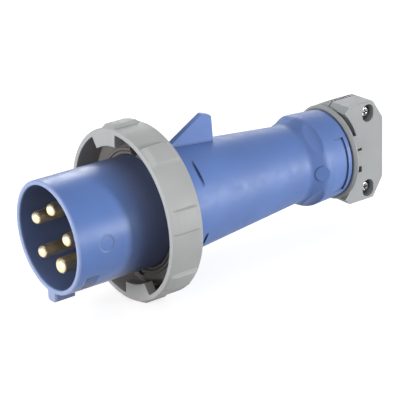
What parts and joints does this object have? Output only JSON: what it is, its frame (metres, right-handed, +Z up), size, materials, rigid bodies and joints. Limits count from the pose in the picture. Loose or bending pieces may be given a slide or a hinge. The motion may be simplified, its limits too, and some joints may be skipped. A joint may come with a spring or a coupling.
{
  "type": "industrial pin and sleeve plug",
  "caption": "Watertight industrial power plug: round sleeve with key, brass contact pins, bayonet coupling ring, tapered handle with lid catch, and a cord clamp.",
  "frame": {"origin": "centre of the sleeve's rim, on the plug's axis", "axes": "+X along the plug's axis from the pins to the cord end, +Z up through the lid catch, the key at -Z"},
  "size_m": [0.2506, 0.1128, 0.1128],
  "materials": {
    "sleeve_blue": "satin moulded nylon, blue",
    "body_blue": "satin moulded nylon, blue",
    "carrier_dark": "dark moulded thermoset",
    "ring_gray": "matte moulded plastic, mid gray",
    "clamp_gray": "matte moulded plastic, mid gray",
    "gasket_rubber": "matt black rubber",
    "contact_brass": "turned, lightly polished",
    "screw_steel": "zinc plated steel"
  },
  "bodies": {
    "housing": {"sleeve": "sleeve_blue", "contact_carrier": "carrier_dark", "face_gasket": "gasket_rubber", "housing_seal": "gasket_rubber", "rear_body": "body_blue", "cord_grommet": "gasket_rubber", "gland_washer": "clamp_gray", "clamp_collar": "clamp_gray", "pin_l1": "contact_brass", "terminal_screw_l1": "screw_steel", "pin_l2": "contact_brass", "terminal_screw_l2": "screw_steel", "pin_earth": "contact_brass", "terminal_screw_earth": "screw_steel", "pin_l3": "contact_brass", "terminal_screw_l3": "screw_steel", "pin_neutral": "contact_brass", "terminal_screw_neutral": "screw_steel", "housing_screw_1": "screw_steel", "housing_screw_2": "screw_steel", "housing_screw_3": "screw_steel", "housing_screw_4": "screw_steel"},
    "coupling": {"coupling_ring": "ring_gray"},
    "clamp_near": {"clamp_half_near": "clamp_gray", "clamp_screw_top": "screw_steel", "clamp_screw_bottom": "screw_steel"},
    "clamp_far": {"clamp_half_far": "clamp_gray", "clamp_nut_top": "screw_steel", "clamp_nut_bottom": "screw_steel"}
  },
  "joints": [
    {"name": "ring_turn", "type": "hinge", "parent": "housing", "child": "coupling", "pos_m": [0.0736, 0, 0], "axis": [-1, 0, 0], "range_deg": [0, 50]},
    {"name": "clamp_near_slide", "type": "slide", "parent": "housing", "child": "clamp_near", "axis": [0, -1, 0], "range_m": [0, 0.0025]},
    {"name": "clamp_far_slide", "type": "slide", "parent": "housing", "child": "clamp_far", "axis": [0, 1, 0], "range_m": [0, 0.0025]}
  ],
  "couplings": [
    {"joint": "clamp_far_slide", "follows": "clamp_near_slide", "ratio": 1}
  ]
}
